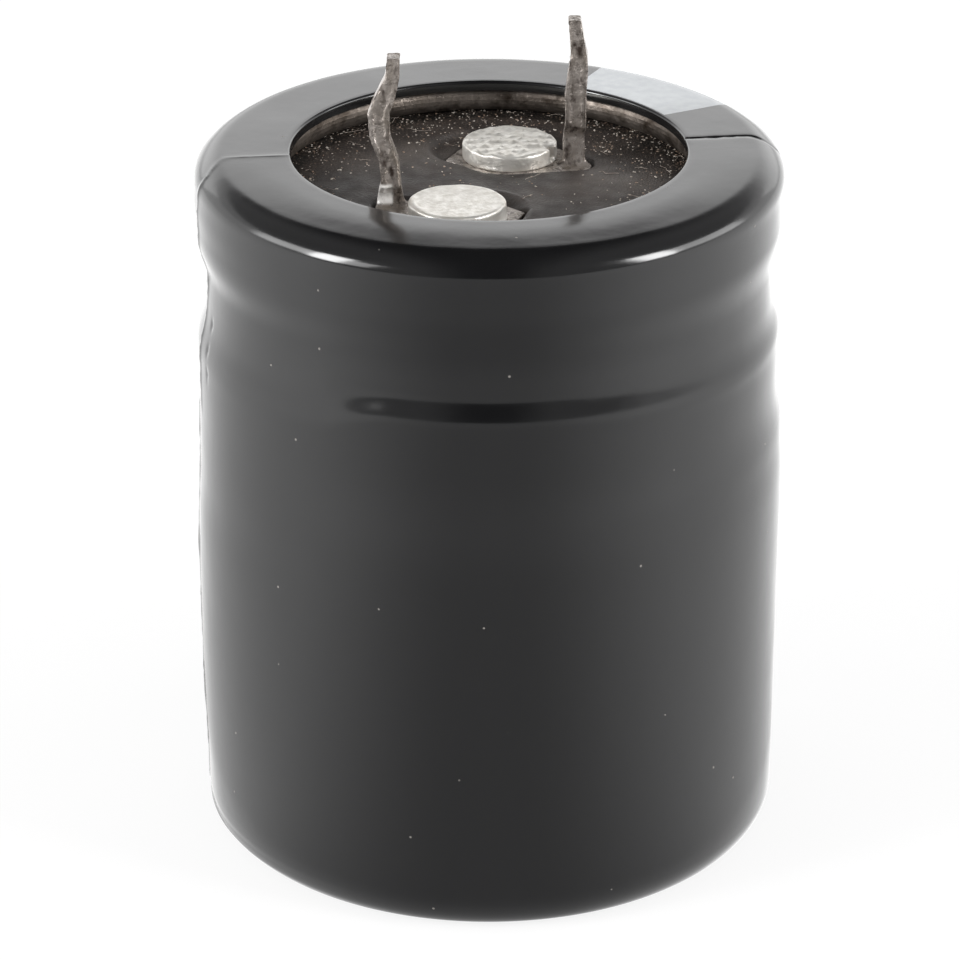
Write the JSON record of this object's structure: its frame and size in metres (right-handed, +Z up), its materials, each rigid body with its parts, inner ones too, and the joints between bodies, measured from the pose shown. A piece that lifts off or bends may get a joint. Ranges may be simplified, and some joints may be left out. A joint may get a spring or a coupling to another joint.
{
  "type": "electrolytic capacitor",
  "caption": "Cylindrical aluminium electrolytic capacitor in a black shrink sleeve, with a beaded neck, a recessed rubber-faced deck and riveted, folded snap-in terminals.",
  "frame": {"origin": "on the can's axis, on the surface that the closed end stands on", "axes": "+Z up along the can's axis towards the terminals, +Y away from the picture's camera, +X to its right"},
  "size_m": [0.0256, 0.0256, 0.036],
  "materials": {
    "black_pvc": "heat-shrunk, glossy, lightly scuffed",
    "drawn_aluminium": "drawn and rolled, dull",
    "grey_fibre": "pressed fibre, matt",
    "brown_laminate": "punched laminate",
    "black_rubber": "matt, dusty",
    "rivet_aluminium": "pressed, satin",
    "tinned_steel": "dull tinned, stained",
    "foil_and_paper": "wound foil and soaked paper",
    "clear_tape": "thin film"
  },
  "bodies": {
    "root": {"sleeve": "black_pvc", "can": "drawn_aluminium", "base_disc": "grey_fibre", "deck_board": "brown_laminate", "deck_rubber": "black_rubber", "positive_rivet": "rivet_aluminium", "negative_rivet": "rivet_aluminium", "positive_terminal": "tinned_steel", "negative_terminal": "tinned_steel", "positive_washer": "rivet_aluminium", "negative_washer": "rivet_aluminium", "positive_lead_strip": "rivet_aluminium", "negative_lead_strip": "rivet_aluminium", "wound_element": "foil_and_paper", "closing_tape": "clear_tape"}
  },
  "joints": []
}
